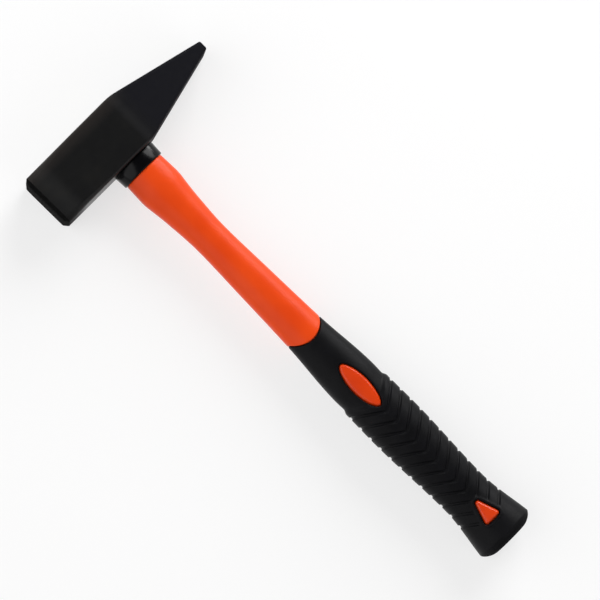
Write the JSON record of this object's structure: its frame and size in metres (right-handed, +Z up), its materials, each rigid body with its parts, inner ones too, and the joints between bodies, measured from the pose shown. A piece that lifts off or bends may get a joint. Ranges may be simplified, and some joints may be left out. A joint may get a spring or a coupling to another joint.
{
  "type": "cross-peen hammer",
  "caption": "Machinist's hammer with a square striking face, a wedge-shaped cross peen and a waisted plastic handle with a ribbed soft grip.",
  "frame": {"origin": "on the lower cheek of the head, the flat side it lies on, straight under the crossing of the head's middle and the handle's axis", "axes": "+X towards the peen, +Y along the handle from the butt to the top of the head, +Z up, square to the cheek"},
  "size_m": [0.1364, 0.3629, 0.036],
  "materials": {
    "forged_head": "satin",
    "eye_resin": "gloss",
    "fibreglass": "satin",
    "collar": "satin",
    "jacket": "satin",
    "grip": "matte"
  },
  "bodies": {
    "root": {"head": "forged_head", "eye_resin": "eye_resin", "handle_core": "fibreglass", "neck_collar": "collar", "handle_jacket": "jacket", "rubber_grip": "grip"}
  },
  "joints": []
}
